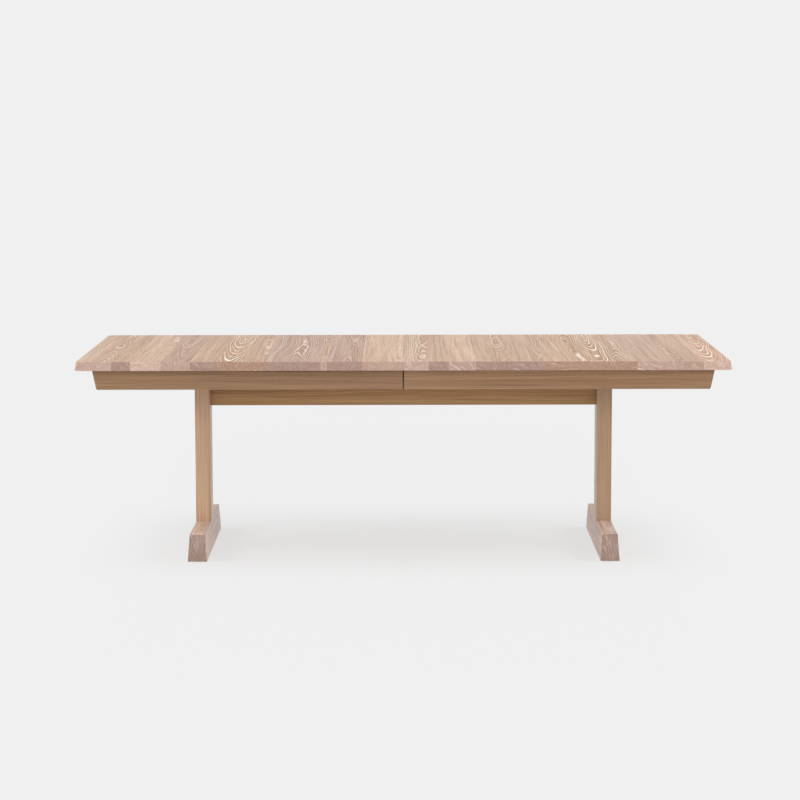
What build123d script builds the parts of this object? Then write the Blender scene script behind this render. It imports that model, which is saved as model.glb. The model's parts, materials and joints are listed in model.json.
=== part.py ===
from build123d import *
import math
import os

# Extendable dining table on two trestles. +X runs along the table, +Y across it, +Z up.
# The origin is on the floor under the middle of the table, and the table is modelled closed.
# The top is in two halves that draw apart in X on dovetailed wooden slides. A rack on each
# slide and a pinion between them make both halves move by the same amount. Two loose leaves
# for the gap lie in the well under the top.

os.makedirs("parts", exist_ok=True)

# ---------------------------------------------------------------- driving dimensions, mm

# Table top
top_length = 2300.0            # closed, at the upper arris
top_width = 1000.0             # at the upper arris
top_height = 740.0
top_thickness = 31.0
top_corner_radius = 18.0
edge_flare = 5.0               # the sloping edge stands out this much further at its foot
arris_radius = 2.5
seam_gap = 0.5                 # between any two boards of the top

# Extension and its slides
travel = 400.0                 # of each half
slide_width = 28.0
slide_height = 43.0
slide_overlap = 60.0           # slide left past the middle when drawn out
slide_end_gap = 15.0           # slide short of the corner block
slide_clearance = 2.0          # slide over bearer
side_gap = 1.0                 # slide beside runner
top_clearance = 1.0            # runner, and the free end of a slide, under the top
lock_bay = 62.0                # between the outer slide and the apron
key_depth = 9.0                # dovetailed key on the slide
key_mouth_height = 7.2
key_tip_height = 10.4
key_rise = 8.5                 # middle of the key above the slide's underside
key_gap = 0.3
key_tip_gap = 1.0

# Rack and pinion
gear_module = 3.0
pinion_tooth_pairs = 7
pressure_angle = 20.0
addendum = 2.4
root_clearance = 0.6
backlash = 0.4
pinion_height = 9.4
pinion_cover = 10.0            # wood of the runner over the pinion's slot
pinion_slot_gap = 1.5          # slot past the pinion's tips
pin_radius = 4.0
pin_head_radius = 7.0
pin_head_height = 2.0
pin_length = 36.0
running_gap = 0.05
washer_radius = 10.0
washer_thickness = 1.0
washer_bore_gap = 0.2          # at the corners of its bore
axial_gap = 0.3
rack_overhang = 0.5            # rack past the pinion's faces
rack_recess = 0.6              # rack tips behind the slide's face
rack_back = 4.0                # plain strip behind the teeth
rack_lead = 24.0               # teeth before and after the stroke
rack_lug = 18.0

# Aprons
apron_height = 75.0
apron_thickness = 22.0
apron_setback = 60.0           # long aprons behind the long arris
apron_end_setback = 49.0       # end aprons behind the end arris
apron_batter = 16.0            # the end leans in by this much at its foot
apron_round = 8.0              # of the lower outer arrises
apron_seam_gap = 5.0
corner_block_leg = 70.0
corner_block_height = 40.0
corner_screw_inset = 24.0
button_width = 30.0
button_reach = 30.0
button_height = 20.0
tongue_reach = 8.0
tongue_height = 7.0
tongue_rise = 5.0              # tongue above the button's underside
mortise_play = 3.0
mortise_gap = 0.5
button_seam_inset = 150.0
button_end_inset = 130.0

# Trestles
trestle_spacing = 1486.0       # between the posts' middles
post_width = 55.0
post_depth = 110.0
foot_height = 97.5
foot_top_width = 56.0
foot_bottom_width = 69.5
foot_top_length = 680.0
foot_bottom_length = 710.0
tenon_shoulder = 15.0
foot_tenon = 45.0
bearer_tenon = 32.0
glue_gap = 0.2
bearer_width = 55.0
bearer_depth = 60.0
bearer_end_depth = 24.0
bearer_flat = 90.0             # half of the level stretch over the post
bearer_end_gap = 23.0
beam_height = 70.0
beam_thickness = 32.0
beam_top_gap = 7.0             # beam under bearer
beam_housing = 12.0
runner_end = 57.0              # runner past the trestle's middle
stop_pin_radius = 4.0
stop_pin_rise = 8.0
stop_pin_depth = 18.0
stop_slot_side_gap = 0.5
stop_slot_roof_gap = 2.0
stop_slack = 1.0

# Leaves and the rails that they lie on
leaf_top_gap = 3.5
felt_thickness = 1.5
felt_width = 30.0
felt_length = 60.0
felt_inset = 40.0
rail_spacing = 660.0           # between the outer rails; a third lies midway
middle_screw_offset = 12.0     # screws of the middle rail beside the pinion pins
rail_width = 45.0
rail_thickness = 18.0

# Seam pins
seam_pin_radius = 4.0
seam_pin_depth = 22.0
seam_pin_reach = 12.0
seam_pin_chamfer = 1.5
seam_hole_gap = 0.3
seam_hole_spare = 2.0
seam_pin_edge_inset = 60.0
seam_pin_middle_inset = 150.0

# Seam locks
lock_inset = 26.5              # lock line from the apron's inner face
lock_pivot_inset = 18.0        # from the seam
lock_stud_inset = 24.0
lock_open_angle = 32.0
lock_plate_thickness = 2.0
lock_plate_length = 34.0
lock_plate_width = 34.0
lever_thickness = 3.0
lever_end_radius = 9.0
lever_arm_width = 14.0
handle_length = 28.0
handle_width = 10.0
lever_gap = 0.5
rivet_radius = 3.0
rivet_head_radius = 5.0
rivet_head_height = 2.0
notch_gap = 0.35
lock_screw_length = 16.0
lock_screw_radius = 1.6
lock_screw_head = 3.2
lock_screw_inset = 6.0

# Fasteners and glides
fastener_sides = 6             # flat sides of screws, bolts, pins and their holes
disc_sides = 16                # and of the wider glides and washers
screw_radius = 2.5
screw_head = 5.0
long_screw_length = 60.0
slide_screw_length = 45.0
button_screw_length = 32.0
screw_pair_spacing = 28.0
screw_edge = 30.0              # slide screws from the slots and ends beside them
coach_radius = 4.0
coach_length = 90.0
coach_head_radius = 7.5
coach_head_height = 5.5
coach_bore_radius = 11.0
coach_bore_depth = 18.0
coach_spacing = 50.0
connector_radius = 3.5
connector_head = 8.5
connector_head_height = 2.5
connector_spacing = 34.0
connector_spare = 8.0          # bolt past the barrel nut
barrel_radius = 5.0
barrel_length = 22.0
barrel_inset = 32.0            # from the beam's shoulder
bore_gap = 0.25
glide_radius = 15.0
glide_thickness = 5.0
glide_drop = 1.0               # of the glide that stands below the foot
glide_inset = 45.0
glide_round = 1.0

# ---------------------------------------------------------------- derived levels and lines

top_underside = top_height - top_thickness
half_length = top_length / 2
half_width = top_width / 2
seam_face = seam_gap / 2
leaf_width = travel - seam_gap

apron_foot = top_underside - apron_height
apron_outer_y = half_width - apron_setback
apron_inner_y = apron_outer_y - apron_thickness
apron_outer_x = half_length - apron_end_setback
apron_inner_x = apron_outer_x - apron_thickness
apron_lean = Vector(apron_batter, 0, -apron_height)

pitch_radius = gear_module * pinion_tooth_pairs
pinion_teeth = 2 * pinion_tooth_pairs
pinion_tip = pitch_radius + addendum
dedendum = addendum + root_clearance
tooth_pitch = math.pi * gear_module
tooth_width = (tooth_pitch - backlash) / 2
flank_angle = math.radians(pressure_angle)

slide_face = pitch_radius - addendum - rack_recess
slide_far_face = slide_face + slide_width
slide_middle = slide_face + slide_width / 2
runner_half = slide_face - side_gap
runner_y = apron_inner_y - lock_bay - slide_far_face
slide_bottom = top_underside - slide_height
bearer_top = slide_bottom - slide_clearance
runner_top = top_underside - top_clearance
key_level = slide_bottom + key_rise
slide_screw_level = top_height - top_thickness / 2 - slide_screw_length
pinion_slot_top = runner_top - pinion_cover
pinion_top = pinion_slot_top - washer_thickness - axial_gap
pinion_bottom = pinion_top - pinion_height
pinion_slot_bottom = pinion_bottom - axial_gap - washer_thickness
rack_bottom = pinion_bottom - rack_overhang
rack_height = pinion_height + 2 * rack_overhang

trestle_x = trestle_spacing / 2
bearer_bottom = bearer_top - bearer_depth
bearer_half = apron_inner_y - bearer_end_gap
runner_half_length = trestle_x + runner_end
post_face = trestle_x - post_width / 2
beam_half = post_face + beam_housing
beam_underside = bearer_bottom - beam_top_gap - beam_height
beam_middle = beam_underside + beam_height / 2

slide_inner_end = travel + slide_overlap
slide_outer_end = -(apron_inner_x - apron_batter - corner_block_leg - slide_end_gap)
rack_start = -rack_lead - rack_lug
rack_end = travel + rack_lead + rack_lug
rack_back_y = pitch_radius + dedendum + rack_back
stop_reach = stop_pin_radius + stop_slack
stop_slot_start = -trestle_x - stop_reach
stop_slot_end = -trestle_x + travel + stop_reach

upper_leaf_bottom = top_underside - leaf_top_gap - top_thickness
lower_leaf_bottom = upper_leaf_bottom - felt_thickness - top_thickness
rail_top = lower_leaf_bottom - felt_thickness
rail_bottom = rail_top - rail_thickness
rail_lines = (-rail_spacing / 2, 0.0, rail_spacing / 2)

lock_y = -(apron_inner_y - lock_inset)
lock_radius = lock_pivot_inset + lock_stud_inset
plate_bottom = top_underside - lock_plate_thickness
lever_top = plate_bottom - lever_gap
lever_bottom = lever_top - lever_thickness
rivet_foot = lever_bottom - lever_gap - rivet_head_height
pin_level = top_height - top_thickness / 2
seam_pin_lines = (half_width - seam_pin_edge_inset, seam_pin_middle_inset)


# ---------------------------------------------------------------- common shapes

def block(low, high):
    """Box from its lowest to its highest corner."""
    middle = [(a + b) / 2 for a, b in zip(low, high)]
    size = [b - a for a, b in zip(low, high)]
    return Pos(*middle) * Box(*size)


def prism(points, direction):
    """Straight prism on an outline of points in one plane."""
    outline = make_face(Polyline(*points, close=True))
    reach = Vector(*direction)
    return extrude(outline, amount=reach.length, dir=reach.normalized())


def rod(radius, start, end):
    """Cylinder from one point to another."""
    reach = Vector(*end) - Vector(*start)
    foot = Plane(origin=start, z_dir=reach)
    return foot * Cylinder(radius, reach.length, align=(Align.CENTER, Align.CENTER, Align.MIN))


def flat_sided(profile, origin, axis, sides=fastener_sides):
    """Turned shape with flat sides: (radius, height) rings along an axis from the origin."""
    place = Plane(origin=origin, z_dir=axis)
    turn = 2 * math.pi / sides
    rings = [[place.from_local_coords((radius * math.cos(corner * turn),
                                       radius * math.sin(corner * turn), height))
              for corner in range(sides)] for radius, height in profile]
    outlines = [rings[0], rings[-1]]
    for lower, upper in zip(rings, rings[1:]):
        outlines += [(lower[corner - 1], lower[corner], upper[corner], upper[corner - 1])
                     for corner in range(sides)]
    return Solid(Shell([make_face(Polyline(*outline, close=True)) for outline in outlines]))


def flat_rod(radius, start, end, sides=fastener_sides):
    """Straight rod with flat sides from one point to another."""
    reach = Vector(*end) - Vector(*start)
    return flat_sided([(radius, 0), (radius, reach.length)], start, reach, sides)


def wood_screw(length, radius, head, origin, axis):
    """Countersunk screw with its head's face at the origin, driven along the axis."""
    return flat_sided([(head, 0), (radius, head - radius), (radius, length)], origin, axis)


def mirrored_points(x_values, y_values):
    return [(x, y) for x in x_values for y in y_values]


# ---------------------------------------------------------------- table top and leaves

def whole_top():
    """Closed top as one board: sloping edges, rounded corners, softened upper arris."""
    foot = RectangleRounded(top_length + 2 * edge_flare, top_width + 2 * edge_flare,
                            top_corner_radius + edge_flare)
    slope = math.degrees(math.atan2(edge_flare, top_thickness))
    board = extrude(Pos(0, 0, top_underside) * foot, amount=top_thickness, taper=slope)
    return fillet(board.edges().group_by(Axis.Z)[-1], arris_radius)


def seam_pin(x, y, z, outward):
    """Locating pin let into a meeting edge at x, with a chamfered nose."""
    nose = seam_pin_radius - seam_pin_chamfer
    length = seam_pin_depth + seam_pin_reach
    profile = [(seam_pin_radius, 0), (seam_pin_radius, length - seam_pin_chamfer), (nose, length)]
    return flat_sided(profile, (x - outward * seam_pin_depth, y, z), (outward, 0, 0))


def seam_bores(x, outward):
    """Holes in the meeting edge at x: pins at -Y beside sockets at +Y, seen along outward."""
    socket_depth = seam_pin_reach + seam_hole_spare
    bores = []
    for line in seam_pin_lines:
        pin_y, socket_y = -outward * line, outward * line
        bores.append(flat_rod(seam_pin_radius, (x - outward * seam_pin_depth, pin_y, pin_level),
                              (x, pin_y, pin_level)))
        bores.append(flat_rod(seam_pin_radius + seam_hole_gap,
                              (x - outward * socket_depth, socket_y, pin_level),
                              (x, socket_y, pin_level)))
    return bores


def half_top():
    left = block((-half_length - edge_flare, -half_width - edge_flare, top_underside),
                 (-seam_face, half_width + edge_flare, top_height))
    return (whole_top() & left) - seam_bores(-seam_face, 1)


def half_seam_pins():
    return [seam_pin(-seam_face, -line, pin_level, 1) for line in seam_pin_lines]


def leaf_in_use():
    """Leaf as it lies in the middle of the opened top."""
    edge = leaf_width / 2
    slab = block((-edge, -half_width - edge_flare, top_underside),
                 (edge, half_width + edge_flare, top_height))
    return (whole_top() & slab) - seam_bores(edge, 1) - seam_bores(-edge, -1)


def leaf_pins_in_use():
    edge = leaf_width / 2
    pins = [seam_pin(edge, -line, pin_level, 1) for line in seam_pin_lines]
    return pins + [seam_pin(-edge, line, pin_level, -1) for line in seam_pin_lines]


def stored(shape, bottom):
    """Turned along the table and lowered into the well."""
    return Pos(0, 0, bottom - top_underside) * shape.rotate(Axis.Z, 90)


# ---------------------------------------------------------------- aprons and their fixings

def leaning_prism(plan, height):
    """Prism that hangs from the top's underside and leans in with the end apron."""
    points = [(x, y, top_underside) for x, y in plan]
    return prism(points, apron_lean * (height / apron_height))


def soften_foot(apron, side):
    """Round the lower arris that lies furthest out, on the negative side of an axis."""
    foot_edges = apron.edges().group_by(Axis.Z)[0]
    return fillet(foot_edges.sort_by(side)[0], apron_round)


def button_lines():
    outer = -(apron_inner_x - button_end_inset)
    inner = -button_seam_inset
    return (outer, (outer + inner) / 2, inner)


def button_mortise(x):
    """Mortise for a button's tongue in the front apron, long enough for the top to move."""
    low = top_underside - button_height + tongue_rise - mortise_gap
    reach = button_width / 2 + mortise_play
    return block((x - reach, -apron_inner_y - tongue_reach - mortise_gap, low),
                 (x + reach, -apron_inner_y, low + tongue_height + 2 * mortise_gap))


def front_apron():
    """Long apron, its outer end mitred to the leaning end apron."""
    board = block((-apron_outer_x, -apron_outer_y, apron_foot),
                  (-apron_seam_gap / 2, -apron_inner_y, top_underside))
    beyond = -apron_outer_x - apron_thickness
    outer = -apron_outer_y - apron_thickness
    inner = -apron_inner_y + apron_thickness
    waste = [(beyond, outer), (-apron_inner_x + apron_thickness, inner), (beyond, inner)]
    mortises = [button_mortise(x) for x in button_lines()]
    board = board - leaning_prism(waste, apron_height) - mortises
    return soften_foot(board, Axis.Y)


def end_apron():
    plan = [(-apron_outer_x, -apron_outer_y), (-apron_inner_x, -apron_inner_y),
            (-apron_inner_x, apron_inner_y), (-apron_outer_x, apron_outer_y)]
    return soften_foot(leaning_prism(plan, apron_height), Axis.X)


def corner_screw():
    x = -apron_inner_x + corner_screw_inset
    y = -apron_inner_y + corner_screw_inset
    return button_screw(x, y)


def corner_block():
    """Glued block in the front corner, bored from below for its screw."""
    x, y = -apron_inner_x, -apron_inner_y
    plan = [(x, y), (x + corner_block_leg, y), (x, y + corner_block_leg)]
    screw_x, screw_y = x + corner_screw_inset, y + corner_screw_inset
    bore = flat_rod(screw_head + bore_gap,
                    (screw_x, screw_y, top_underside - corner_block_height),
                    (screw_x, screw_y, top_underside - button_height))
    return leaning_prism(plan, corner_block_height) - bore - corner_screw()


def button_screw(x, y):
    return wood_screw(button_screw_length, screw_radius, screw_head,
                      (x, y, top_underside - button_height), (0, 0, 1))


def front_button_screws():
    y = -apron_inner_y + button_reach / 2
    return [button_screw(x, y) for x in button_lines()]


def front_buttons():
    """Blocks under the top, each with a tongue in the front apron."""
    low = top_underside - button_height
    half = button_width / 2
    face = -apron_inner_y
    buttons = []
    for x in button_lines():
        body = block((x - half, face + mortise_gap, low),
                     (x + half, face + button_reach, top_underside))
        tongue = block((x - half, face - tongue_reach, low + tongue_rise),
                       (x + half, face + mortise_gap, low + tongue_rise + tongue_height))
        buttons.append(body + tongue - front_button_screws())
    return buttons


def across(shape):
    """The like piece on the other long side."""
    return mirror(shape, about=Plane.XZ)


# ---------------------------------------------------------------- slides, racks and pinions

def key_outline(x, gap, tip, mouth):
    """Dovetail between the tip and mouth distances from the runner's middle."""
    slope = (key_tip_height - key_mouth_height) / 2 / key_depth
    points = []
    for distance in (mouth, tip):
        half = key_mouth_height / 2 + (slide_face - distance) * slope + gap
        points.append((distance, half))
    (near, near_half), (far, far_half) = points
    return [(x, near, key_level - near_half), (x, near, key_level + near_half),
            (x, far, key_level + far_half), (x, far, key_level - far_half)]


def slide():
    """Left half's slide beside a runner on the X axis, on the runner's +Y side."""
    length = slide_inner_end - slide_outer_end
    body = block((slide_outer_end, slide_face, slide_bottom),
                 (slide_inner_end, slide_far_face, top_underside))
    key = prism(key_outline(slide_outer_end, 0, slide_face - key_depth, slide_face), (length, 0, 0))
    relief = block((-seam_face, slide_face, runner_top),
                   (slide_inner_end, slide_far_face, top_underside))
    rack_slot = block((rack_start, slide_face, rack_bottom),
                      (rack_end, rack_back_y, rack_bottom + rack_height))
    half_slot = stop_pin_radius + stop_slot_side_gap
    stop_slot = block((stop_slot_start, slide_middle - half_slot, slide_bottom),
                      (stop_slot_end, slide_middle + half_slot,
                       slide_bottom - slide_clearance + stop_pin_rise + stop_slot_roof_gap))
    bores = [flat_rod(screw_head + bore_gap, (x, slide_middle, slide_bottom),
                      (x, slide_middle, slide_screw_level)) for x in slide_screw_lines()]
    return body + key - relief - rack_slot - stop_slot - bores - slide_screws()


def slide_screw_lines():
    return (slide_outer_end + screw_edge, stop_slot_start - screw_edge,
            stop_slot_end + screw_edge, rack_start - screw_edge)


def slide_screws():
    """Screws up through the slide, their points ending in the middle of the top."""
    return [wood_screw(slide_screw_length, screw_radius, screw_head,
                       (x, slide_middle, slide_screw_level), (0, 0, 1)) for x in slide_screw_lines()]


def rack():
    """Straight-flanked rack with its teeth towards the runner's middle line."""
    tip_half = tooth_width / 2 - addendum * math.tan(flank_angle)
    root_half = tooth_width / 2 + dedendum * math.tan(flank_angle)
    tip_y = pitch_radius - addendum
    root_y = pitch_radius + dedendum
    first = math.ceil(-rack_lead / tooth_pitch)
    last = math.floor((travel + rack_lead) / tooth_pitch)
    outline = [(rack_start, rack_back_y, rack_bottom), (rack_start, root_y, rack_bottom)]
    for number in range(first, last):
        middle = (number + 0.5) * tooth_pitch
        outline += [(middle - root_half, root_y, rack_bottom),
                    (middle - tip_half, tip_y, rack_bottom),
                    (middle + tip_half, tip_y, rack_bottom),
                    (middle + root_half, root_y, rack_bottom)]
    outline += [(rack_end, root_y, rack_bottom), (rack_end, rack_back_y, rack_bottom)]
    return prism(outline, (0, 0, rack_height))


def involute(angle):
    return math.tan(angle) - angle


def pinion():
    """Involute pinion with a tooth towards +Y, bored to run on its pin."""
    base_radius = pitch_radius * math.cos(flank_angle)
    root_radius = pitch_radius - dedendum
    pitch_half_angle = tooth_width / 2 / pitch_radius
    flank_steps = 4
    flank = [(root_radius, pitch_half_angle + involute(flank_angle))]
    for step in range(flank_steps + 1):
        radius = base_radius + (pinion_tip - base_radius) * step / flank_steps
        local_angle = math.acos(min(1, base_radius / radius))
        half_angle = pitch_half_angle + involute(flank_angle) - involute(local_angle)
        flank.append((radius, half_angle))
    outline = []
    for tooth in range(pinion_teeth):
        middle = math.pi / 2 + tooth * 2 * math.pi / pinion_teeth
        sides = [(radius, middle - half_angle) for radius, half_angle in flank]
        sides += [(radius, middle + half_angle) for radius, half_angle in reversed(flank)]
        outline += [(radius * math.cos(angle), radius * math.sin(angle), pinion_bottom)
                    for radius, angle in sides]
    bore = rod(pin_radius + running_gap, (0, 0, pinion_bottom), (0, 0, pinion_top))
    return prism(outline, (0, 0, pinion_height)) - bore


def pinion_pin():
    """Round axle pin with a flat head let into the runner's top."""
    shank = rod(pin_radius, (0, 0, runner_top), (0, 0, runner_top - pin_length))
    return shank + flat_rod(pin_head_radius, (0, 0, runner_top), (0, 0, runner_top - pin_head_height))


def pinion_washers():
    washers = []
    for level in (pinion_slot_bottom, pinion_slot_top - washer_thickness):
        disc = flat_rod(washer_radius, (0, 0, level), (0, 0, level + washer_thickness), disc_sides)
        washers.append(disc - flat_rod(pin_radius + washer_bore_gap, (0, 0, level),
                                       (0, 0, level + washer_thickness), disc_sides))
    return washers


# ---------------------------------------------------------------- fixed frame

def runner():
    """Fixed runner on the bearers, grooved on both sides, with the pinion's slot."""
    length = 2 * runner_half_length
    body = block((-runner_half_length, -runner_half, bearer_top),
                 (runner_half_length, runner_half, runner_top))
    groove_floor = slide_face - key_depth - key_tip_gap
    groove = prism(key_outline(-runner_half_length, key_gap, groove_floor, slide_face),
                   (length, 0, 0))
    slot_half = pinion_tip + pinion_slot_gap
    slot = block((-slot_half, -runner_half, pinion_slot_bottom),
                 (slot_half, runner_half, pinion_slot_top))
    screws = [wood_screw(long_screw_length, screw_radius, screw_head, (x, 0, runner_top), (0, 0, -1))
              for x in runner_screw_lines()]
    screws += [wood_screw(long_screw_length, screw_radius, screw_head, (x, 0, rail_bottom), (0, 0, 1))
               for x in rail_screw_lines()]
    return body - groove - across(groove) - slot - pinion_pin() - screws


def runner_screw_lines():
    return [side * trestle_x + offset * screw_pair_spacing / 2
            for side in (-1, 1) for offset in (-1, 1)]


def rail_screw_lines():
    return [-rail_spacing / 2, -middle_screw_offset, middle_screw_offset, rail_spacing / 2]


def long_screws():
    """Screws that hold the runners to the bearers, and the rails up under the runners."""
    screws = []
    for y in (-runner_y, runner_y):
        screws += [wood_screw(long_screw_length, screw_radius, screw_head, (x, y, runner_top),
                              (0, 0, -1)) for x in runner_screw_lines()]
        screws += [wood_screw(long_screw_length, screw_radius, screw_head, (x, y, rail_bottom),
                              (0, 0, 1)) for x in rail_screw_lines()]
    return screws


def coach_screw(origin, axis):
    """Hexagon-headed screw with its head's underside at the origin."""
    shank = flat_sided([(coach_radius, 0), (coach_radius, coach_length)], origin, axis)
    head = Plane(origin=origin, z_dir=-Vector(*axis)) * extrude(
        RegularPolygon(coach_head_radius, 6), amount=coach_head_height)
    return shank + head


def coach_places():
    return (-coach_spacing / 2, coach_spacing / 2)


def left_coach_screws():
    """Up through the foot and down through the bearer, two at each end of the post."""
    screws = []
    for y in coach_places():
        screws.append(coach_screw((-trestle_x, y, glide_drop + coach_bore_depth), (0, 0, 1)))
        screws.append(coach_screw((-trestle_x, y, bearer_top - coach_bore_depth), (0, 0, -1)))
    return screws


def left_coach_bores():
    bores = []
    for y in coach_places():
        bores.append(flat_rod(coach_bore_radius, (-trestle_x, y, glide_drop),
                              (-trestle_x, y, glide_drop + coach_bore_depth)))
        bores.append(flat_rod(coach_bore_radius, (-trestle_x, y, bearer_top),
                              (-trestle_x, y, bearer_top - coach_bore_depth)))
    return bores + left_coach_screws()


def post_tenon(low, high, gap):
    """Tenon on the post's middle line, or its mortise when a gap is given."""
    half_x = post_width / 2 - tenon_shoulder + gap
    half_y = post_depth / 2 - tenon_shoulder + gap
    return block((-trestle_x - half_x, -half_y, low), (-trestle_x + half_x, half_y, high))


def left_foot():
    """Battered foot with the post's mortise and seats for the glides."""
    lower = Pos(-trestle_x, 0, glide_drop) * Rectangle(foot_bottom_width, foot_bottom_length)
    upper = Pos(-trestle_x, 0, foot_height) * Rectangle(foot_top_width, foot_top_length)
    mortise = post_tenon(foot_height - foot_tenon - glue_gap, foot_height, glue_gap)
    return loft([lower, upper]) - mortise - left_glides() - left_coach_bores()


def left_glides():
    glides = []
    for y in (-(foot_bottom_length / 2 - glide_inset), foot_bottom_length / 2 - glide_inset):
        profile = [(glide_radius - glide_round, 0), (glide_radius, glide_round),
                   (glide_radius, glide_thickness)]
        glides.append(flat_sided(profile, (-trestle_x, y, 0), (0, 0, 1), disc_sides))
    return glides


def left_post():
    shaft = block((-trestle_x - post_width / 2, -post_depth / 2, foot_height),
                  (-trestle_x + post_width / 2, post_depth / 2, bearer_bottom))
    tenons = [post_tenon(foot_height - foot_tenon, foot_height, 0),
              post_tenon(bearer_bottom, bearer_bottom + bearer_tenon, 0)]
    return shaft + tenons - beam() - left_coach_screws() - left_connectors()


def left_bearer():
    """Bearer across the post, cut away underneath towards its ends."""
    outline = [(-bearer_half, bearer_top), (bearer_half, bearer_top),
               (bearer_half, bearer_top - bearer_end_depth), (bearer_flat, bearer_bottom),
               (-bearer_flat, bearer_bottom), (-bearer_half, bearer_top - bearer_end_depth)]
    low_x = -trestle_x - bearer_width / 2
    body = prism([(low_x, y, z) for y, z in outline], (bearer_width, 0, 0))
    mortise = post_tenon(bearer_bottom, bearer_bottom + bearer_tenon + glue_gap, glue_gap)
    return body - mortise - left_coach_bores() - left_stop_pins() - long_screws()


def left_stop_pins():
    """Pins that stand in the slot under each of the left half's slides."""
    pins = []
    for y in (-runner_y + slide_middle, runner_y + slide_middle):
        pins.append(flat_rod(stop_pin_radius, (-trestle_x, y, bearer_top - stop_pin_depth),
                             (-trestle_x, y, bearer_top + stop_pin_rise)))
    return pins


def beam():
    half = beam_thickness / 2
    return block((-beam_half, -half, beam_underside),
                 (beam_half, half, beam_underside + beam_height))


def connector_levels():
    return (beam_middle - connector_spacing / 2, beam_middle + connector_spacing / 2)


def left_connectors():
    """Bolts through the post into the beam, heads let in flush with the post's outer face."""
    outer_face = -trestle_x - post_width / 2
    length = post_width + barrel_inset + connector_spare
    profile = [(connector_head, 0), (connector_head, connector_head_height),
               (connector_radius, connector_head_height), (connector_radius, length)]
    return [flat_sided(profile, (outer_face, 0, level), (1, 0, 0)) for level in connector_levels()]


def left_barrel_nuts():
    """Cross nuts in the beam, put in from its back."""
    x = -post_face + barrel_inset
    half = barrel_length / 2
    bolts = left_connectors()
    nuts = []
    for level in connector_levels():
        nuts.append(flat_rod(barrel_radius, (x, -half, level), (x, half, level)) - bolts)
    return nuts


def left_beam_bores():
    x = -post_face + barrel_inset
    outer_face = -trestle_x - post_width / 2
    reach = post_width + barrel_inset + connector_spare
    bores = []
    for level in connector_levels():
        bores.append(flat_rod(barrel_radius, (x, -barrel_length / 2, level),
                              (x, beam_thickness / 2, level)))
        bores.append(flat_rod(connector_radius + bore_gap, (outer_face, 0, level),
                              (outer_face + reach, 0, level)))
    return bores


def leaf_rail(x):
    reach = runner_y + runner_half
    board = block((x - rail_width / 2, -reach, rail_bottom), (x + rail_width / 2, reach, rail_top))
    return board - long_screws()


def rail_blocks():
    """Packing blocks between the rails and the runners."""
    screws = long_screws()
    return [block((x - rail_width / 2, y - runner_half, rail_top),
                  (x + rail_width / 2, y + runner_half, bearer_top)) - screws
            for x in rail_lines for y in (-runner_y, runner_y)]


def leaf_felts():
    """Felt under each leaf, over the rails."""
    pads = []
    line = leaf_width / 2 - felt_inset
    for x, y in mirrored_points(rail_lines, (-line, line)):
        for level in (rail_top, lower_leaf_bottom + top_thickness):
            pads.append(block((x - felt_width / 2, y - felt_length / 2, level),
                              (x + felt_width / 2, y + felt_length / 2, level + felt_thickness)))
    return pads


# ---------------------------------------------------------------- seam locks

def lock_screws_at(x, y):
    """Two screws up through a lock plate whose middle is at x, y."""
    reach = lock_plate_width / 2 - lock_screw_inset
    return [wood_screw(lock_screw_length, lock_screw_radius, lock_screw_head,
                       (x, y + offset, plate_bottom), (0, 0, 1)) for offset in (-reach, reach)]


def riveted_plate(x, y):
    """Plate under the top with a headed rivet at x, y that stands down from it."""
    half_x, half_y = lock_plate_length / 2, lock_plate_width / 2
    plate = block((x - half_x, y - half_y, plate_bottom), (x + half_x, y + half_y, top_underside))
    plate = chamfer(plate.edges().filter_by(Axis.Z), lock_screw_inset / 2)
    shank = rod(rivet_radius, (x, y, rivet_foot), (x, y, top_underside))
    head = flat_rod(rivet_head_radius, (x, y, rivet_foot), (x, y, rivet_foot + rivet_head_height))
    return plate + shank + head - lock_screws_at(x, y)


def lock_lever():
    """Hooked lever, drawn pointing along +X from its pivot and turned to its open place."""
    def flat(face):
        return extrude(Pos(0, 0, lever_bottom) * face, amount=lever_thickness)

    shape = flat(Circle(lever_end_radius)) + flat(Pos(lock_radius, 0) * Circle(lever_end_radius))
    shape += flat(Pos(lock_radius / 2, 0) * Rectangle(lock_radius, lever_arm_width))
    shape += flat(Pos(-handle_length / 2, 0) * Rectangle(handle_length, handle_width))
    shape += flat(Pos(-handle_length, 0) * Circle(handle_width / 2))
    notch_half = rivet_radius + notch_gap
    ring = flat(Circle(lock_radius + notch_half)) - flat(Circle(lock_radius - notch_half))
    mouth = block((0, -lock_radius, lever_bottom), (2 * lock_radius, 0, lever_top))
    notch = (ring & mouth) + flat(Pos(lock_radius, 0) * Circle(notch_half))
    pivot = flat(Circle(rivet_radius + running_gap))
    placed = (shape - notch - pivot).rotate(Axis.Z, lock_open_angle)
    return Pos(-lock_pivot_inset, lock_y, 0) * placed


# ---------------------------------------------------------------- assembly

def on_both_runners(shapes):
    return [Pos(0, y, 0) * shape for y in (-runner_y, runner_y) for shape in shapes]


def on_both_sides(shapes):
    """Pieces of the front, and the like ones of the back."""
    return list(shapes) + [across(shape) for shape in shapes]


def right_of(shapes):
    """Like pieces of the other trestle."""
    return [mirror(shape, about=Plane.YZ) for shape in shapes]


def half_turn(shapes):
    """Like pieces of the other half: the two halves are the same, turned about the middle."""
    return [shape.rotate(Axis.Z, 180) for shape in shapes]


left_slide_screws = on_both_runners(slide_screws())
left_button_screws = on_both_sides(front_button_screws() + [corner_screw()])
left_lock_screws = lock_screws_at(-lock_pivot_inset, lock_y)
left_lock_screws += lock_screws_at(-lock_stud_inset, -lock_y)

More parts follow.
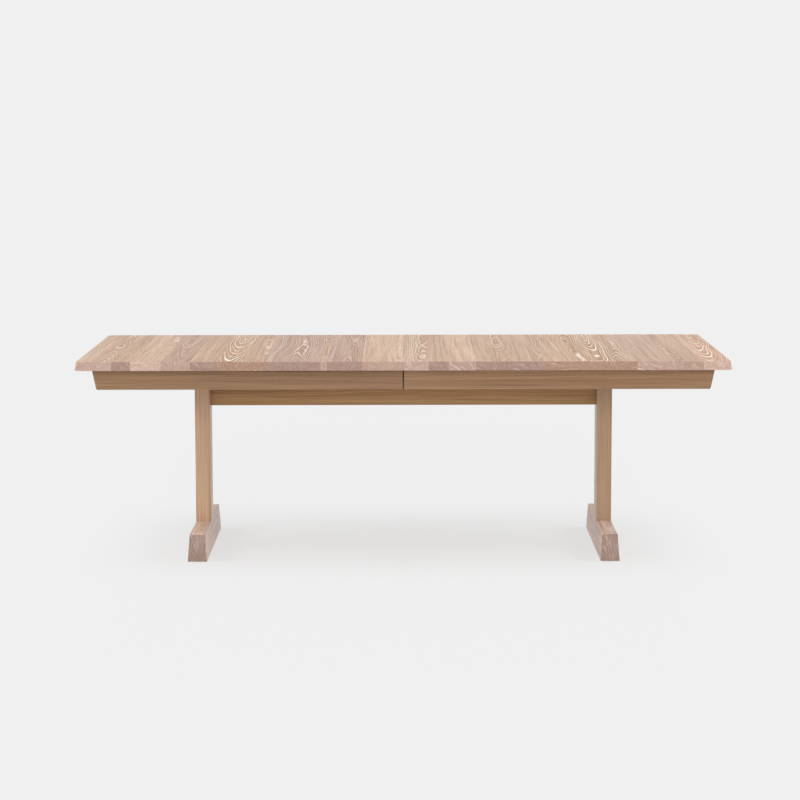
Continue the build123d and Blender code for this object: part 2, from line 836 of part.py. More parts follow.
left_half = {
    "left_top": [half_top() - left_slide_screws - left_button_screws - left_lock_screws],
    "left_front_apron": [front_apron()],
    "left_back_apron": [across(front_apron())],
    "left_end_apron": [end_apron()],
    "left_corner_blocks": on_both_sides([corner_block()]),
    "left_buttons": on_both_sides(front_buttons()),
    "left_button_screws": left_button_screws,
    "left_front_slide": on_both_runners([slide()])[:1],
    "left_back_slide": on_both_runners([slide()])[1:],
    "left_racks": on_both_runners([rack()]),
    "left_slide_screws": left_slide_screws,
    "left_seam_pins": half_seam_pins(),
    "left_lock_plate": [riveted_plate(-lock_pivot_inset, lock_y)],
    "left_lock_keeper": [riveted_plate(-lock_stud_inset, -lock_y)],
    "left_lock_screws": left_lock_screws,
    "left_lock_lever": [lock_lever()],
}

opposite = {"left": "right", "front": "back", "back": "front"}
right_half = {
    "_".join(opposite.get(word, word) for word in name.split("_")): half_turn(shapes)
    for name, shapes in left_half.items()
}

bare_beam = beam() - left_beam_bores() - right_of(left_beam_bores())
leaf = leaf_in_use()
leaf_levels = (lower_leaf_bottom, upper_leaf_bottom)
front_runner, back_runner = on_both_runners([runner()])
front_pinion, back_pinion = on_both_runners([pinion()])

fixed_frame = {
    "left_foot": [left_foot()],
    "right_foot": right_of([left_foot()]),
    "left_post": [left_post()],
    "right_post": right_of([left_post()]),
    "stretcher_beam": [bare_beam],
    "left_bearer": [left_bearer()],
    "right_bearer": half_turn([left_bearer()]),
    "front_runner": [front_runner],
    "back_runner": [back_runner],
    "left_leaf_rail": [leaf_rail(rail_lines[0])],
    "middle_leaf_rail": [leaf_rail(rail_lines[1])],
    "right_leaf_rail": [leaf_rail(rail_lines[2])],
    "rail_blocks": rail_blocks(),
    "lower_leaf": [stored(leaf, lower_leaf_bottom)],
    "upper_leaf": [stored(leaf, upper_leaf_bottom)],
    "leaf_pins": [stored(pin, level) for level in leaf_levels for pin in leaf_pins_in_use()],
    "leaf_felts": leaf_felts(),
    "foot_glides": left_glides() + right_of(left_glides()),
    "coach_screws": left_coach_screws() + right_of(left_coach_screws()),
    "connector_bolts": left_connectors() + right_of(left_connectors()),
    "barrel_nuts": left_barrel_nuts() + right_of(left_barrel_nuts()),
    "frame_screws": long_screws(),
    "stop_pins": left_stop_pins() + half_turn(left_stop_pins()),
    "pinion_pins": on_both_runners([pinion_pin()]),
    "pinion_washers": on_both_runners(pinion_washers()),
}

pinions = {"front_pinion": [front_pinion], "back_pinion": [back_pinion]}

for name, shapes in (fixed_frame | left_half | right_half | pinions).items():
    solids = [solid for shape in shapes for solid in shape.solids()]
    whole = solids[0] if len(solids) == 1 else Compound(solids)
    export_step(whole, f"parts/{name}.step")
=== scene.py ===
import json
import math
import random

import bmesh
import bpy
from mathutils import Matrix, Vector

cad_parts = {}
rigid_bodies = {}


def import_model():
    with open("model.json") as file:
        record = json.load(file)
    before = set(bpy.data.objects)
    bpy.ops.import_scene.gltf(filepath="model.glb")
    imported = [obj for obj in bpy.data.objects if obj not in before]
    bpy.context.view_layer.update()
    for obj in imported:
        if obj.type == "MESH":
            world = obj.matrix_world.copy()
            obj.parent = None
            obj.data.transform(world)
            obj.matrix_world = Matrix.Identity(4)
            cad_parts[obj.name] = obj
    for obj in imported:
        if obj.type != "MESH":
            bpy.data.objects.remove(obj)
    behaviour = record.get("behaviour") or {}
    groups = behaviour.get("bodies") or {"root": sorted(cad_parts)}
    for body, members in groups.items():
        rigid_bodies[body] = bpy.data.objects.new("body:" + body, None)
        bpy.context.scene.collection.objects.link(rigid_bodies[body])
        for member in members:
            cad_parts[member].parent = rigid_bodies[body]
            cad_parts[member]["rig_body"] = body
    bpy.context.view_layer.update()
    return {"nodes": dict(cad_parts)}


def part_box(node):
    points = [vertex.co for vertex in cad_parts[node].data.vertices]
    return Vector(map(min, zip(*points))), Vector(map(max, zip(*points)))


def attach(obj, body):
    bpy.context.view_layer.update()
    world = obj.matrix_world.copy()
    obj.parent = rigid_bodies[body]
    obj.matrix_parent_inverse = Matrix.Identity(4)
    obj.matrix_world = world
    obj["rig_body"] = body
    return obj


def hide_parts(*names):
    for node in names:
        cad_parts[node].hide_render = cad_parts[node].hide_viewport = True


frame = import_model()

# ---------------------------------------------------------------- camera
# A long lens stands nine metres in front of the table, a little above its top, and
# looks slightly down at it.
camera_place = (-0.00267, -9.1027, 1.6496)
looks_down, roll, looks_left = 0.1209, 0.0019, 0.00086    # radians
lens = bpy.data.cameras.new("camera")
lens.lens = 111.06
lens.sensor_width = 36.0
lens.clip_end = 2000.0
camera = bpy.data.objects.new("camera", lens)
camera.location = camera_place
camera.rotation_euler = (math.radians(90) - looks_down, roll, looks_left)
bpy.context.scene.collection.objects.link(camera)
bpy.context.scene.camera = camera
bpy.context.scene.view_settings.view_transform = "Standard"


# ---------------------------------------------------------------- floor and light
# A pale seamless floor runs out to the horizon, where it meets a wall of the same
# brightness under a dimmer ceiling. One soft lamp hangs over the table, a broad one stands
# at each end and a low one in front, and the shade on the floor fades out past its ends.
class Value:
    """An output socket of a node tree. Arithmetic on it adds the nodes that do it."""

    def __init__(self, tree, socket=None):
        self.tree, self.socket = tree, socket

    def node(self, kind, settings=None, inputs=None, out=0):
        """Add a node, set it up, fill its sockets, and return one of its outputs."""
        made = self.tree.nodes.new("ShaderNode" + kind)
        for name, setting in (settings or {}).items():
            setattr(made, name, setting)
        for name, given in (inputs or {}).items():
            if isinstance(given, Value):
                self.tree.links.new(given.socket, made.inputs[name])
            else:
                made.inputs[name].default_value = given
        return Value(self.tree, made.outputs[out])

    def math(self, operation, other=0.0, swapped=False):
        """A Math node on this value and another, or Vector Math where one is a vector."""
        pair = (other, self) if swapped else (self, other)
        if any(isinstance(v, Value) and v.socket.type == "VECTOR" for v in pair):
            pair = [(v,) * 3 if isinstance(v, float) else v for v in pair]
            return self.node("VectorMath", {"operation": operation}, dict(enumerate(pair)))
        return self.node("Math", {"operation": operation}, dict(enumerate(pair)))

    def __add__(self, other):
        return self.math("ADD", other)

    def __radd__(self, other):
        return self.math("ADD", other, True)

    def __sub__(self, other):
        return self.math("SUBTRACT", other)

    def __rsub__(self, other):
        return self.math("SUBTRACT", other, True)

    def __mul__(self, other):
        return self.math("MULTIPLY", other)

    def __rmul__(self, other):
        return self.math("MULTIPLY", other, True)

    def __truediv__(self, other):
        return self.math("DIVIDE", other)

    def split(self):
        """The three parts of a vector."""
        first = self.node("SeparateXYZ", inputs={0: self})
        return [Value(self.tree, s) for s in first.socket.node.outputs]

    def join(self, x, y, z):
        return self.node("CombineXYZ", inputs={0: x, 1: y, 2: z})

    def step(self, low, high):
        """0 below low, 1 above high, and smooth between."""
        return self.node("MapRange", {"interpolation_type": "SMOOTHSTEP"},
                         {"Value": self, "From Min": low, "From Max": high})

    def mix(self, a, b):
        """Colour a where this value is 0, colour b where it is 1."""
        return self.node("Mix", {"data_type": "RGBA"}, {0: self, 6: a, 7: b}, 2)

    def noise(self, scale, detail=2.0, out=0):
        """Noise at this place, with its own scale along each axis."""
        return self.node("TexNoise", inputs={"Vector": self * tuple(scale), "Scale": 1.0,
                                             "Detail": detail, "Roughness": 0.55}, out=out)


def paint(red, green, blue):
    """A colour given as eight-bit display numbers, made linear for the shaders."""
    return tuple(((c / 255 + 0.055) / 1.055) ** 2.4 for c in (red, green, blue)) + (1.0,)


def new_material(name):
    """An empty material: its node tree, wrapped, and its Principled shader."""
    made = bpy.data.materials.new(name)
    made.use_nodes = True
    return made, Value(made.node_tree), made.node_tree.nodes["Principled BSDF"]


backdrop = paint(240, 240, 240)
ceiling = 0.30
wall_top, ceiling_start = 0.30, 0.58
floor_size = 1600.0
floor_albedo = 0.175
floor_mottle = 0.01
shade_full, shade_gone = 0.72, 1.25    # from the middle of the table, along it
# tilt from straight down, turned towards, strength, width
LAMPS = {"overhead": (8.0, 0.0, 0.62, 50.0),
         "front": (74.0, 0.0, 0.66, 20.0),
         "left_end": (55.0, -80.0, 1.50, 40.0),
         "right_end": (55.0, 80.0, 1.50, 40.0)}

world = bpy.data.worlds.new("studio")
world.use_nodes = True
height = Value(world.node_tree).node("TexCoord", out="Generated").split()[2]
room = height.step(wall_top, ceiling_start).mix(backdrop, (ceiling, ceiling, ceiling, 1.0))
world.node_tree.links.new(room.socket, world.node_tree.nodes["Background"].inputs["Color"])
bpy.context.scene.world = world

# Light that an open floor gets: the ceiling, what the wall adds to it, and the lamps. A
# smooth fall from wall to ceiling counts for three tenths of its square.
smooth_share = 0.3
fall = ceiling_start - wall_top
wall_share = wall_top ** 2 + fall * wall_top + smooth_share * fall ** 2
floor_light = ceiling + wall_share * (backdrop[0] - ceiling)
for name, (tilt, turn, power, width) in LAMPS.items():
    lamp = bpy.data.lights.new(name, "SUN")
    lamp.energy = power
    lamp.angle = math.radians(width)
    lamp_object = bpy.data.objects.new(name, lamp)
    lamp_object.rotation_euler = (math.radians(tilt), 0.0, math.radians(turn))
    bpy.context.scene.collection.objects.link(lamp_object)
    floor_light += power * math.cos(math.radians(tilt)) / math.pi

bpy.ops.object.select_all(action="DESELECT")
bpy.ops.mesh.primitive_plane_add(size=floor_size)
floor = bpy.context.active_object
floor.name = "floor"
floor_paint, value, shader = new_material("pale_floor")
place = value.node("TexCoord", out="Object")
nearby = 1.0 - place.split()[0].math("ABSOLUTE").step(shade_full, shade_gone)
albedo = nearby * (place.noise((0.9, 0.9, 0.9), 3.0) * floor_mottle
                   + (floor_albedo - floor_mottle / 2))
glow = backdrop[0] - albedo * floor_light
shader.inputs["Roughness"].default_value = 1.0
shader.inputs["Specular IOR Level"].default_value = 0.0
shader.inputs["Emission Strength"].default_value = 1.0
value.tree.links.new(value.join(albedo, albedo, albedo).socket, shader.inputs["Base Color"])
value.tree.links.new(value.join(glow, glow, glow).socket, shader.inputs["Emission Color"])
# seen from below, the floor is clear
under = value.node("MixShader", inputs={
    0: value.node("NewGeometry", out="Backfacing"), 1: Value(value.tree, shader.outputs[0]),
    2: value.node("BsdfTransparent")})
value.tree.links.new(under.socket, value.tree.nodes["Material Output"].inputs["Surface"])
floor.data.materials.append(floor_paint)


# ---------------------------------------------------------------- feet
# Each foot is one heavy piece of oak that tapers upwards, with the grain along it and its
# ends bare. Its arrises are eased and it is limed and waxed. Its top is painted paler: painted
# light from above.
GRAIN = {"x": (1, 0, 2), "y": (0, 1, 2), "z": (0, 2, 1)}    # across, along, depth


def timber(name, runs, ground, sap, line, shade, end, spacing=0.0034, lines=0.5, pores=0.5,
           flecks=0.0, sway=1.0, polish=0.0):
    """Wood as it grows: rings round a wandering heart, cut by the piece's own faces."""
    made, value, shader = new_material(name)
    parts = value.node("TexCoord", out="Object").split()
    across, along, depth = (parts[i] for i in GRAIN[runs])
    written = {word: value.node("Attribute", {"attribute_name": word}, out="Vector")
               for word in ("heart", "board", "tint", "end_tint")}
    cross, rise, lean = written["heart"].split()
    seed, figure, middle = written["board"].split()
    log = value.join(across + seed, along, depth + seed * 0.37)

    # the rings: distance from the heart, in years, with the heart's wandering and the
    # swellings of the trunk in metres
    wander_aside, wander_below = 0.10 * sway, 0.08 * sway
    swelling, ripple = 0.016 * sway, 0.0020
    wander = value.join(seed * 7.0, along, seed * 3.0).noise((1.0, 1.2, 1.0), 1.0, 1).split()
    warp = ((log.noise((15.0, 3.6, 15.0), 2.0) - 0.5) * swelling
            + (log.noise((80.0, 18.0, 80.0), 1.0) - 0.5) * ripple)
    aside = across - cross - (wander[0] - 0.5) * wander_aside
    below = depth - rise - (wander[1] - 0.5) * wander_below - lean * (along - middle)
    radius = (aside * aside + below * below).math("SQRT")
    growth = (radius + warp) / ((figure * 0.8 + 1.0) * spacing)
    part = growth.math("FRACT")
    vigour = value.node("TexWhiteNoise", {"noise_dimensions": "1D"},
                        {"W": growth.math("FLOOR") + seed * 97.0})
    # open early wood at the start of each year, dense late wood at its end
    early = part.step(0.0, 0.10) * (1.0 - part.step(0.14, 0.44))
    late = part.step(0.58, 0.95) * (1.0 - part.step(0.96, 1.0))
    ring = early * (vigour * 0.8 + 0.2)

    # The faces along the grain, with a figure that comes and goes along the board. Bands,
    # streaks, threads and fibres are ever finer stripes, and dashes are open pores.
    bold = figure * (log.noise((11.0, 2.6, 11.0), 2.0).step(0.30, 0.58) * 0.65 + 0.35)
    band = log.noise((24.0, 0.5, 24.0), 1.0).step(0.36, 0.64)
    streak = log.noise((110.0, 1.6, 110.0), 2.0).step(0.42, 0.66)
    thread = log.noise((300.0, 4.0, 300.0), 1.0).step(0.48, 0.66)
    fibre = log.noise((520.0, 9.0, 520.0), 2.0)
    dash = log.noise((1500.0, 48.0, 1500.0), 1.0).step(0.56, 0.68) * (early * 0.7 + 0.3)
    side = band.mix(ground, sap)
    side = (streak * 0.34 + thread * 0.30 + late * (bold * 0.60 + 0.12)).mix(side, shade)
    side = side * (written["tint"] + 1.0)
    side = (ring * (bold + lines)).math("MINIMUM", 1.0).mix(side, line)
    side = (dash * pores).mix(side, line)
    side = ((fibre - 0.5) * 0.9).math("MAXIMUM", 0.0).mix(side, shade)
    if flecks:
        fleck = log.noise((900.0, 210.0, 900.0), 0.0).step(0.60, 0.70)
        side = (fleck * flecks).mix(side, shade)

    # the sawn ends: rings, rays and open pores
    bearing = aside.math("ARCTAN2", below)
    ray = value.join(bearing * 60.0, radius * 25.0, seed).noise((1.0, 1.0, 1.0), 2.0)
    speck = log.noise((1700.0, 60.0, 1700.0), 1.0).step(0.5, 0.65)
    blotch = log.noise((300.0, 60.0, 170.0), 2.0).step(0.48, 0.64)
    butt = (ring * 0.50 + blotch * 0.42).mix(end, shade)
    butt = (ray.step(0.52, 0.72) * 0.40).mix(butt, line)
    butt = (speck * 0.25).mix(butt, shade) * (written["end_tint"] + 1.0)

    facing = value.node("TexCoord", out="Normal").split()[GRAIN[runs][1]]
    is_end = facing.math("ABSOLUTE").step(0.30, 0.60)
    value.tree.links.new(is_end.mix(side, butt).socket, shader.inputs["Base Color"])
    value.tree.links.new((ring * 0.08 + fibre * 0.12 + 0.48).socket,
                         shader.inputs["Roughness"])
    relief = value.node("Bump", {}, {"Height": fibre * 0.4 - dash * 0.6 - ring * 0.3,
                                     "Strength": 0.35, "Distance": 0.0004})
    value.tree.links.new(relief.socket, shader.inputs["Normal"])
    shader.inputs["Specular IOR Level"].default_value = 0.35
    shader.inputs["Coat Weight"].default_value = polish
    shader.inputs["Coat Roughness"].default_value = 0.3
    return made


def wood_from(node, finish, runs, heart=(0.02, -0.06), lean=0.01, seed=0.0,
              figure=0.0, tint=(0.0, 0.0, 0.0), end_tint=(0.0, 0.0, 0.0)):
    """The piece that stands for a CAD node: its skin merged and its flat faces whole,
    with the place of the log's heart and the board's tone written on its faces."""
    source = frame["nodes"][node]
    piece = bpy.data.objects.new(node + "_wood", source.data.copy())
    bpy.context.scene.collection.objects.link(piece)
    piece.data.materials.clear()
    piece.data.materials.append(finish)
    bpy.ops.object.select_all(action="DESELECT")
    bpy.context.view_layer.objects.active = piece
    piece.select_set(True)
    bpy.ops.mesh.customdata_custom_splitnormals_clear()
    bpy.ops.object.mode_set(mode="EDIT")
    bpy.ops.mesh.select_all(action="SELECT")
    same_place, same_plane = 0.00001, math.radians(0.3)
    bpy.ops.mesh.remove_doubles(threshold=same_place)
    bpy.ops.mesh.dissolve_limited(angle_limit=same_plane)
    bpy.ops.object.mode_set(mode="OBJECT")
    low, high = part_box(node)
    middle = (low + high) / 2
    across, along, depth = GRAIN[runs]
    write(piece, [(middle[across] + heart[0], middle[depth] + heart[1], lean)], "heart")
    write(piece, [(seed, figure, middle[along])], "board")
    write(piece, [tint], "tint")
    write(piece, [end_tint], "end_tint")
    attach(piece, source["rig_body"])
    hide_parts(node)
    return piece


def write(piece, values, name):
    """Write a vector on every face: one for all, or one for each."""
    faces = piece.data.polygons
    if len(values) == 1:
        values = values * len(faces)
    layer = piece.data.attributes.get(name) or piece.data.attributes.new(
        name, "FLOAT_VECTOR", "FACE")
    layer.data.foreach_set("vector", [x for v in values for x in v])


def soften(piece, width, wanted):
    """Ease the sharp edges whose middle, direction and length pass the test."""
    sharp = math.radians(40)
    shell = bmesh.new()
    shell.from_mesh(piece.data)
    chosen = []
    for edge in shell.edges:
        run = edge.verts[1].co - edge.verts[0].co
        middle = (edge.verts[0].co + edge.verts[1].co) / 2
        if len(edge.link_faces) == 2 and edge.calc_face_angle() > sharp:
            if wanted(middle, run.normalized(), run.length):
                chosen.append(edge.index)
    shell.free()
    bpy.ops.object.select_all(action="DESELECT")
    bpy.context.view_layer.objects.active = piece
    piece.select_set(True)
    bpy.ops.object.mode_set(mode="EDIT")
    bpy.ops.mesh.select_mode(type="EDGE")
    bpy.ops.mesh.select_all(action="DESELECT")
    bpy.ops.object.mode_set(mode="OBJECT")
    for index in chosen:
        piece.data.edges[index].select = True
    bpy.ops.object.mode_set(mode="EDIT")
    bpy.ops.mesh.bevel(offset=width, segments=2, affect="EDGES")
    bpy.ops.object.mode_set(mode="OBJECT")


def smooth(piece):
    """Shade the piece smooth, but for edges that turn by more than this."""
    crease = math.radians(32.0)
    bpy.ops.object.select_all(action="DESELECT")
    bpy.context.view_layer.objects.active = piece
    piece.select_set(True)
    bpy.ops.object.shade_smooth_by_angle(angle=crease)


limed_foot = timber(
    "limed_foot_oak", "y", paint(201, 170, 152), paint(213, 187, 170), paint(246, 238, 230),
    paint(120, 92, 82), paint(150, 121, 108), lines=0.35, pores=0.35, sway=0.5, polish=0.4)
# a paler tint for faces that look up: painted light from above
PAINTED_TOP_LIGHT = (0.24, 0.23, 0.19)
foot_easing = 0.0018

for side, seed in (("left", 1.3), ("right", 4.1)):
    foot = wood_from(side + "_foot", limed_foot, "y",
                     heart=(0.015, -0.09), lean=0.008, seed=seed)
    soften(foot, foot_easing, lambda at, run, size: size > 0.05)    # not round the glides
    # the upward faces are painted paler: painted light from above
    write(foot, [PAINTED_TOP_LIGHT if face.normal.z > 0.7 else (0.0, 0.0, 0.0)
                 for face in foot.data.polygons], "tint")
    smooth(foot)

# ---------------------------------------------------------------- posts
# One flat board of oak stands on each foot and is let into it and into the bearer above.
# Its grain runs straight up, and it is waxed, so its edges shine at a slant.
post_oak = timber(
    "oiled_oak_z", "z", paint(185, 151, 122), paint(201, 170, 139), paint(220, 195, 166),
    paint(146, 107, 79), paint(176, 146, 130), lines=0.25, pores=0.3, sway=0.15, polish=0.6)

POSTS = [("left", 2.2, (0.04, 0.00, -0.04)), ("right", 5.7, (-0.19, -0.22, -0.29))]
post_easing = 0.0015

for side, seed, tint in POSTS:
    post = wood_from(side + "_post", post_oak, "z",
                     heart=(-0.25, 0.34), lean=0.004, seed=seed, tint=tint)
    # the long upright arrises, away from the housing of the beam
    soften(post, post_easing, lambda at, run, size: abs(run.z) > 0.99 and size > 0.2
           and abs(at.y) > 0.05)
    smooth(post)

# ---------------------------------------------------------------- beam
# A deep oak rail joins the posts under the bearers. Its ends are housed in the posts and
# drawn tight by bolts.
# the beam's browns are darker than the posts' oak: painted shade under the top
beam_oak = timber(
    "shade_darkened_oak_x", "x", paint(169, 128, 83), paint(180, 140, 94), paint(207, 172, 129),
    paint(128, 92, 60), paint(150, 120, 94), lines=0.3, pores=0.3, sway=0.5)

beam = wood_from("stretcher_beam", beam_oak, "x",
                 heart=(-0.05, 0.03), lean=0.012, seed=3.3, figure=0.2)
beam_easing = 0.0012
soften(beam, beam_easing, lambda at, run, size: abs(run.x) > 0.99 and size > 0.5)
smooth(beam)

# ---------------------------------------------------------------- frame under the top
# Bearers, leaf rails, corner blocks and buttons are planed beech, waxed. The runners, the
# slides and the blocks between them are beech painted dark: painted shade, for the dark they
# show in the gap of the aprons.
beech = dict(spacing=0.0026, lines=0.18, pores=0.1, flecks=0.5, sway=0.5)
# dark brown beech: painted shade for the pieces seen in the gap of the aprons
shade_dark_beech = timber("gap_shade_beech", "x", paint(98, 71, 52), paint(110, 82, 61),
                paint(132, 102, 78), paint(66, 46, 33), paint(80, 57, 42), **beech)
waxed = {}
for runs in "xy":
    waxed[runs] = timber(
        "waxed_beech_" + runs, runs, paint(210, 170, 132), paint(220, 186, 150),
        paint(232, 204, 172), paint(178, 128, 90), paint(196, 156, 124), **beech)

beech_pieces = [
    (waxed["y"], "y", ["left_bearer", "right_bearer", "left_leaf_rail", "middle_leaf_rail",
                       "right_leaf_rail"]),
    (shade_dark_beech, "x", ["front_runner", "back_runner", "left_front_slide", "left_back_slide",
                   "right_front_slide", "right_back_slide", "rail_blocks"]),
    (waxed["x"], "x", ["left_buttons", "right_buttons", "left_corner_blocks",
                       "right_corner_blocks"]),
]
# the ends of the rails and rail blocks are painted dark: painted shade seen through the gap of
# the aprons
GAP_SHADE_ENDS = (-0.75, -0.78, -0.80)    # rail ends painted dark: painted shade seen in the apron gap
shuffle = random.Random(11)
for finish, runs, names in beech_pieces:
    for name in names:
        piece = wood_from(name, finish, runs,
                          heart=(shuffle.uniform(-0.08, 0.08), shuffle.uniform(-0.09, -0.05)),
                          lean=shuffle.uniform(-0.01, 0.01), seed=shuffle.uniform(0, 9),
                          end_tint=GAP_SHADE_ENDS if "rail" in name else (0.0, 0.0, 0.0))
        smooth(piece)

# ---------------------------------------------------------------- aprons
# Oak boards under each half of the top, mitred at the corners of the table, the ends
# leaning in. They are straight-grained and oiled darker than the top, and further darkened as
# painted shade from the top above them. Their sawn ends are painted dark: painted shade in the
# gap where the halves meet.
apron_along = {}
for runs in "xy":
    # browns partly darkened as painted shade; the dark end colour is painted shade in the gap
    apron_along[runs] = timber(
        "brown_oak_" + runs, runs, paint(152, 117, 86), paint(165, 131, 98),
        paint(190, 157, 123), paint(116, 82, 56), paint(74, 54, 40), lines=0.25,
        pores=0.3, sway=0.25)

HALVES = [("left", 6.1, (-0.06, -0.07, -0.08)), ("right", 7.7, (0.04, 0.04, 0.03))]
for half, seed, tint in HALVES:
    for where, runs in (("front", "x"), ("back", "x"), ("end", "y")):
        board = wood_from(f"{half}_{where}_apron", apron_along[runs], runs,
                          heart=(0.16, 0.14), lean=0.008, seed=seed + len(where), tint=tint)
        smooth(board)

# ---------------------------------------------------------------- top
# Each half is glued up from oak boards that run across the table, rubbed with white lime
# that stays in the open grain. The boards keep their own tones, and some have a bold figure.
top_oak = {}
for runs in "xy":
    top_oak[runs] = timber(
        "limed_oak_" + runs, runs, paint(189, 154, 128), paint(200, 168, 143),
        paint(252, 244, 234), paint(138, 104, 80), paint(174, 143, 127), spacing=0.0040,
        lines=0.26, pores=0.35, sway=0.8)

TONES = {
    "tan": (0.0, 0.0, 0.0),
    "honey": (0.02, -0.02, -0.10),
    "pale": (0.14, 0.17, 0.20),
    "rose": (-0.13, -0.16, -0.12),
    "grey": (-0.03, -0.02, 0.04),
    "salmon": (0.13, 0.03, 0.02),
    "bright": (0.28, 0.34, 0.40),
    "chalk": (0.15, 0.20, 0.27),
    "blush": (0.08, 0.08, 0.12),
    "mauve": (-0.16, -0.19, -0.16),
    "brown": (-0.11, -0.17, -0.26),
}
# where a board starts (mm from the middle), tone of its face and of its end, its heart
# aside and below (mm), the heart's lean, and how bold the figure is
LEFT_BOARDS = [
    (0, "pale", "blush", 60, -60, 0.010, 0.0), (-145, "rose", "mauve", 20, -36, 0.020, 0.3),
    (-268, "tan", "blush", 0, -50, 0.010, 0.1), (-293, "rose", "mauve", 10, -32, 0.040, 0.5),
    (-484, "tan", "brown", 0, -50, 0.010, 0.1), (-516, "tan", "brown", -40, -50, 0.010, 0.1),
    (-575, "honey", "brown", 0, -30, 0.060, 0.8), (-651, "tan", "mauve", 60, -60, 0.010, 0.0),
    (-749, "rose", "blush", 0, -36, 0.030, 0.2), (-851, "pale", "bright", 40, -36, 0.025, 0.3),
    (-959, "tan", "mauve", 50, -60, 0.010, 0.0), (-1024, "tan", "chalk", 20, -45, 0.030, 0.2),
]
RIGHT_BOARDS = [
    (0, "tan", "chalk", 30, -50, 0.012, 0.3), (89, "tan", "mauve", 60, -60, 0.010, 0.0),
    (160, "pale", "blush", 60, -60, 0.012, 0.0), (255, "tan", "mauve", 40, -60, 0.010, 0.1),
    (379, "tan", "mauve", 60, -60, 0.010, 0.2), (501, "honey", "brown", 50, -34, 0.025, 0.8),
    (660, "honey", "brown", 0, -26, 0.045, 0.9), (738, "tan", "brown", -10, -30, 0.040, 0.5),
    (822, "grey", "blush", 60, -60, 0.010, 0.0), (981, "tan", "tan", 50, -60, 0.010, 0.1),
    (1053, "salmon", "bright", -10, -34, 0.030, 0.7),
]


def glue_up(piece, boards, axis, sign, seed):
    """Divide a top or leaf at its glue joints, and write each board's own growth on it.
    The boards follow one another along the axis, upwards or downwards by the sign."""
    beyond = 9.0               # past the end of any top
    last_board = 0.1           # how wide the outermost board is taken to be
    bpy.ops.object.select_all(action="DESELECT")
    bpy.context.view_layer.objects.active = piece
    piece.select_set(True)
    for joint in boards[1:]:
        bpy.ops.object.mode_set(mode="EDIT")
        bpy.ops.mesh.select_all(action="SELECT")
        point = [0.0, 0.0, 0.0]
        point[axis] = joint[0] / 1000
        square = [1.0 if n == axis else 0.0 for n in range(3)]
        bpy.ops.mesh.bisect(plane_co=point, plane_no=square)
        bpy.ops.object.mode_set(mode="OBJECT")
    ends = [joint[0] / 1000 for joint in boards[1:]] + [sign * beyond]
    hearts, growths, tints, end_tints = [], [], [], []
    top = max(v.co.z for v in piece.data.vertices)
    for face in piece.data.polygons:
        at = face.center[axis]
        n = next(n for n, end in enumerate(ends) if sign * (end - at) > 0)
        start = boards[n][0] / 1000
        stop = ends[n] if abs(ends[n]) < beyond else start + sign * last_board
        middle = (start + stop) / 2
        _, tone, end_tone, aside, below, lean, figure = boards[n]
        hearts.append((middle + aside / 1000, top + below / 1000, lean * (-1) ** n))
        growths.append((seed + 1.7 * n, figure, 0.0))
        tints.append(TONES[tone])
        end_tints.append(TONES[end_tone])
    write(piece, hearts, "heart")
    write(piece, growths, "board")
    write(piece, tints, "tint")
    write(piece, end_tints, "end_tint")


left_top = wood_from("left_top", top_oak["y"], "y")
glue_up(left_top, LEFT_BOARDS, 0, -1.0, 20.0)
smooth(left_top)
right_top = wood_from("right_top", top_oak["y"], "y")
glue_up(right_top, RIGHT_BOARDS, 0, 1.0, 60.0)
smooth(right_top)

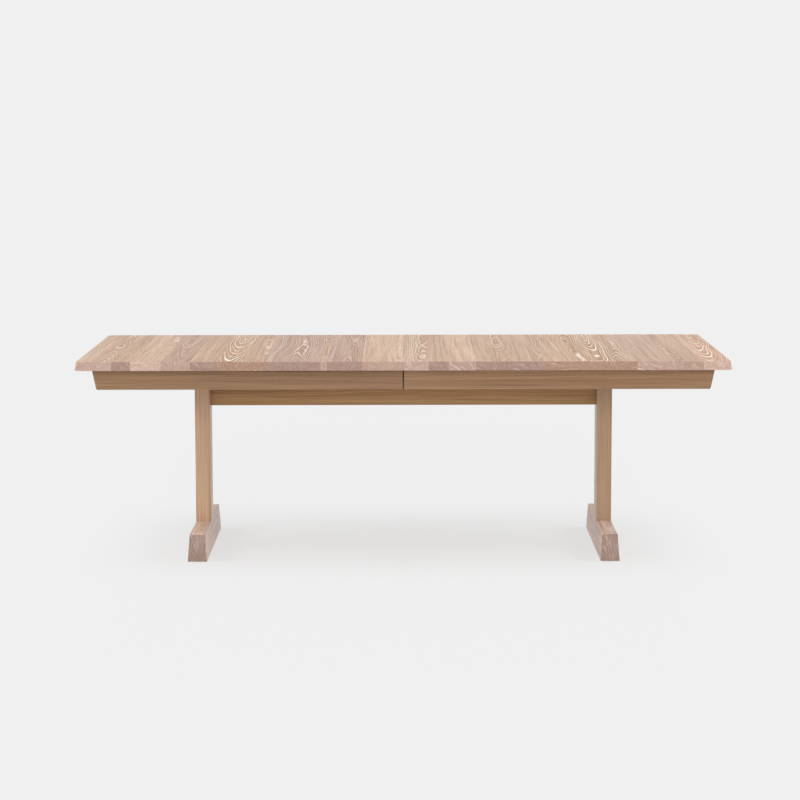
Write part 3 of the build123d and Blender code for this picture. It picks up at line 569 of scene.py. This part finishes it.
# ---------------------------------------------------------------- leaves
# The two leaves are made as the top is, and lie in the well under it, turned along the
# table.
LEAF_BOARDS = [
    (-250, "tan", "tan", 20, -50, 0.010, 0.0), (-121, "rose", "mauve", 20, -40, 0.020, 0.2),
    (-52, "pale", "bright", 30, -60, 0.010, 0.0), (38, "honey", "brown", -10, -34, 0.030, 0.5),
    (117, "tan", "blush", 40, -60, 0.010, 0.0),
]
for name, seed in (("lower_leaf", 90.0), ("upper_leaf", 104.0)):
    leaf = wood_from(name, top_oak["x"], "x")
    glue_up(leaf, LEAF_BOARDS, 1, 1.0, seed)
    smooth(leaf)


# ---------------------------------------------------------------- steel, brass, felt, nylon
# Screws, bolts, racks and pinions are zinc plated, the locks are lacquered black, the
# locating pins are turned brass, and the glides are moulded nylon.
def finish_of(name, base, other, grain, metallic, rough, bump, depth):
    """A fine-grained finish: two tones, a roughness that varies, and a slight relief."""
    made, value, shader = new_material(name)
    place = value.node("TexCoord", out="Object")
    coarse = tuple(scale / 6 for scale in grain)
    cloud = place.noise(coarse, 3.0).step(0.3, 0.7)
    fine = place.noise(grain, 2.0)
    colour = (cloud * 0.5 + fine * 0.5).mix(base, other)
    value.tree.links.new(colour.socket, shader.inputs["Base Color"])
    value.tree.links.new((rough - 0.1 + fine * 0.2).socket, shader.inputs["Roughness"])
    relief = value.node("Bump", {}, {"Height": fine, "Strength": bump, "Distance": depth})
    value.tree.links.new(relief.socket, shader.inputs["Normal"])
    shader.inputs["Metallic"].default_value = metallic
    return made


zinc = finish_of("zinc_plate", paint(196, 198, 200), paint(168, 170, 170),
                 (900, 900, 900), 1.0, 0.38, 0.15, 0.0002)
lacquer = finish_of("black_lacquer", paint(30, 30, 31), paint(42, 41, 40),
                    (1400, 1400, 1400), 0.0, 0.42, 0.25, 0.0002)
brass = finish_of("turned_brass", paint(206, 168, 96), paint(178, 138, 70),
                  (1200, 300, 1200), 1.0, 0.32, 0.15, 0.0002)
felt = finish_of("wool_felt", paint(132, 126, 116), paint(92, 88, 82),
                 (2600, 2600, 2600), 0.0, 0.9, 0.9, 0.0006)
nylon = finish_of("moulded_nylon", paint(96, 84, 72), paint(78, 68, 58),
                  (1800, 1800, 1800), 0.0, 0.5, 0.3, 0.0002)

# the first of these words that a name holds says how the piece is finished
COATS = [("screw", zinc), ("lock", lacquer), ("leaf_pins", brass), ("seam_pins", brass),
         ("felt", felt), ("glide", nylon), ("", zinc)]
for name, node in frame["nodes"].items():
    if not node.hide_render:
        coat = next(coat for word, coat in COATS if word in name)
        for socket in node.material_slots:
            socket.material = coat
